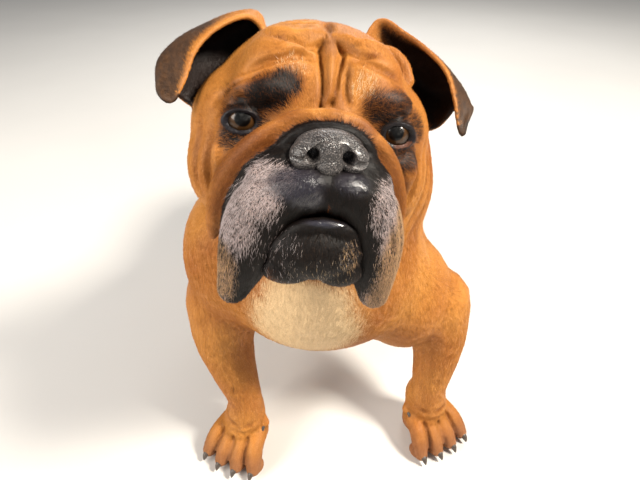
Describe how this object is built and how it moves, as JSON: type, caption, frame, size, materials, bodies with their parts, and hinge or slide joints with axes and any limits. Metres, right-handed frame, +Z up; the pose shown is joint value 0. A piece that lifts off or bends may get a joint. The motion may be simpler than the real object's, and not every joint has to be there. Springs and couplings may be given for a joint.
{
  "type": "english bulldog figure",
  "caption": "Life-size still figure of a fawn English bulldog with a black mask, standing square with its head raised to the viewer.",
  "frame": {"origin": "on the floor, at the middle of the figure's footprint box", "axes": "+X to the dog's left, +Y towards its tail, +Z up; the dog faces -Y"},
  "size_m": [0.3248, 0.5576, 0.4827],
  "materials": {
    "coat": "short, glossy, fawn-red hair lying close",
    "ear_coat": "very short grey-brown hair, dark inside the cup",
    "mask_coat": "short black hair with scattered pale hairs",
    "paw_coat": "thin pinkish-fawn hair over skin, horn claws",
    "nose_leather": "moist, finely pebbled black leather",
    "eye": "wet, dark brown"
  },
  "bodies": {
    "root": {"head": "coat", "lower_jaw": "mask_coat", "nose": "nose_leather", "eye_left": "eye", "eye_right": "eye", "ear_left": "ear_coat", "ear_right": "ear_coat", "neck": "coat", "torso": "coat", "tail": "coat", "foreleg_left": "coat", "foreleg_right": "coat", "forepaw_left": "paw_coat", "forepaw_right": "paw_coat", "thigh_left": "coat", "thigh_right": "coat", "hindleg_left": "coat", "hindleg_right": "coat", "hindpaw_left": "paw_coat", "hindpaw_right": "paw_coat"}
  },
  "joints": []
}
